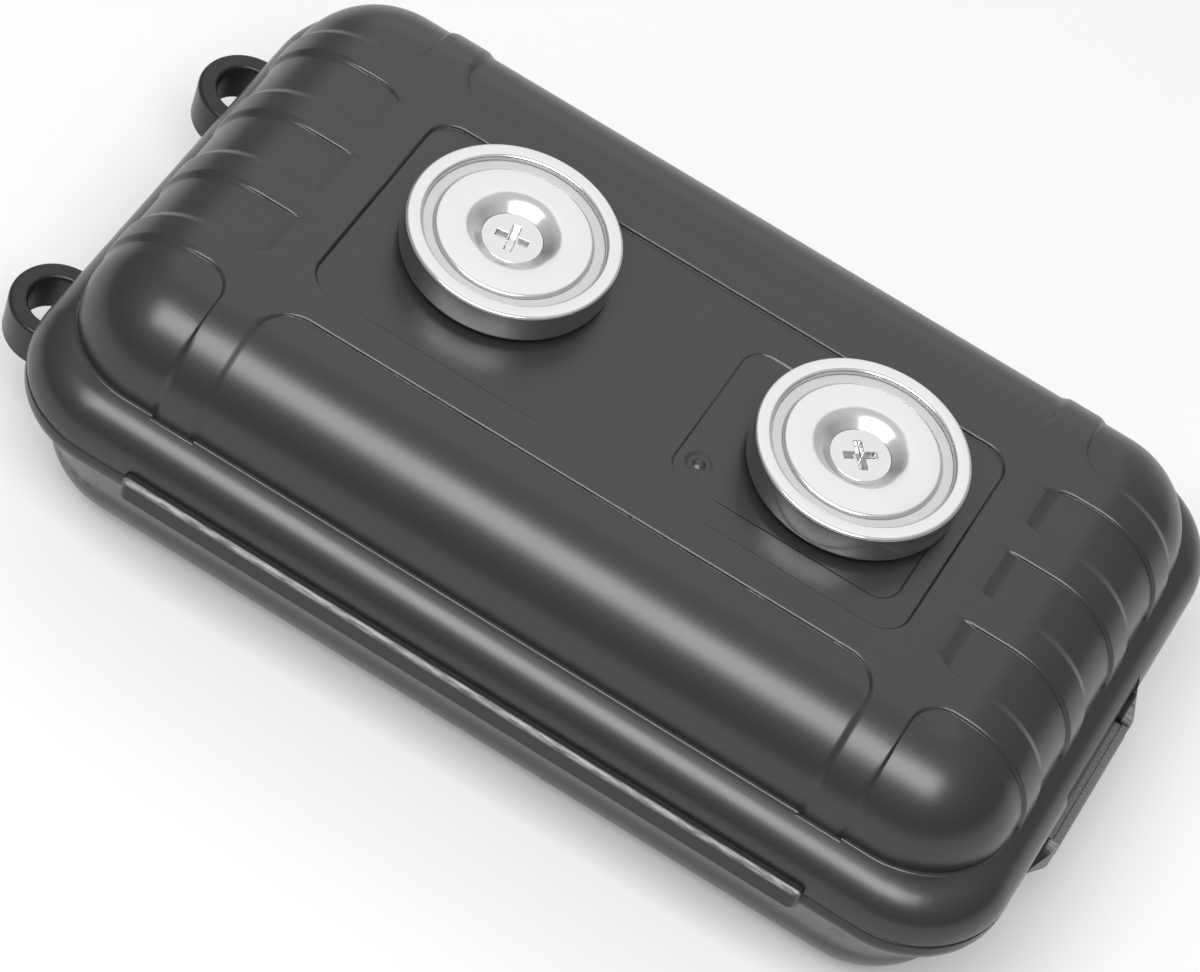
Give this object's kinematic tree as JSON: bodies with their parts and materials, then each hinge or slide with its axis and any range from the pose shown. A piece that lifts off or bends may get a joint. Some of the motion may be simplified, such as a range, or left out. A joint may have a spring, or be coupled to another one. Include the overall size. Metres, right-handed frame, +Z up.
{
  "type": "magnetic key box",
  "caption": "Two-part plastic box with a hinged lid, a sealed rim, a spring latch, lanyard eyes and pot magnets screwed to its top so that it hangs under steel with a key inside.",
  "frame": {"origin": "middle of the flat bottom of the deep half, in the plane that it stands on", "axes": "+X towards the latch end, +Y towards the rear long side, +Z up through the magnets"},
  "size_m": [0.1714, 0.1014, 0.0558],
  "materials": {
    "black_abs": "semi-gloss moulded black ABS",
    "black_rubber": "matt rubber",
    "steel_pin": "drawn steel pin",
    "nickel_steel": "nickel plated steel cup",
    "nickel_magnet": "nickel plated magnet",
    "grey_resin": "light grey potting resin",
    "zinc_screw": "bright zinc plated steel",
    "white_nylon": "white nylon"
  },
  "bodies": {
    "base": {"lower_shell": "black_abs", "lid_seal": "black_rubber", "hinge_pin": "steel_pin", "latch_pin": "steel_pin"},
    "lid": {"upper_shell": "black_abs", "left_magnet_cup": "nickel_steel", "left_ring_magnet": "nickel_magnet", "left_spacer_ring": "grey_resin", "left_magnet_screw": "zinc_screw", "left_sealing_washer": "black_rubber", "left_backing_washer": "zinc_screw", "left_lock_nut": "zinc_screw", "left_nut_insert": "white_nylon", "right_magnet_cup": "nickel_steel", "right_ring_magnet": "nickel_magnet", "right_spacer_ring": "grey_resin", "right_magnet_screw": "zinc_screw", "right_sealing_washer": "black_rubber", "right_backing_washer": "zinc_screw", "right_lock_nut": "zinc_screw", "right_nut_insert": "white_nylon"},
    "latch": {"latch": "black_abs"}
  },
  "joints": [
    {"name": "lid_hinge", "type": "hinge", "parent": "base", "child": "lid", "pos_m": [-0.07825, 0, 0.02745], "axis": [0, -1, 0], "range_deg": [0, 95]},
    {"name": "latch_hinge", "type": "hinge", "parent": "base", "child": "latch", "pos_m": [0.0813, 0, 0.0175], "axis": [0, 1, 0], "range_deg": [0, 90]}
  ]
}
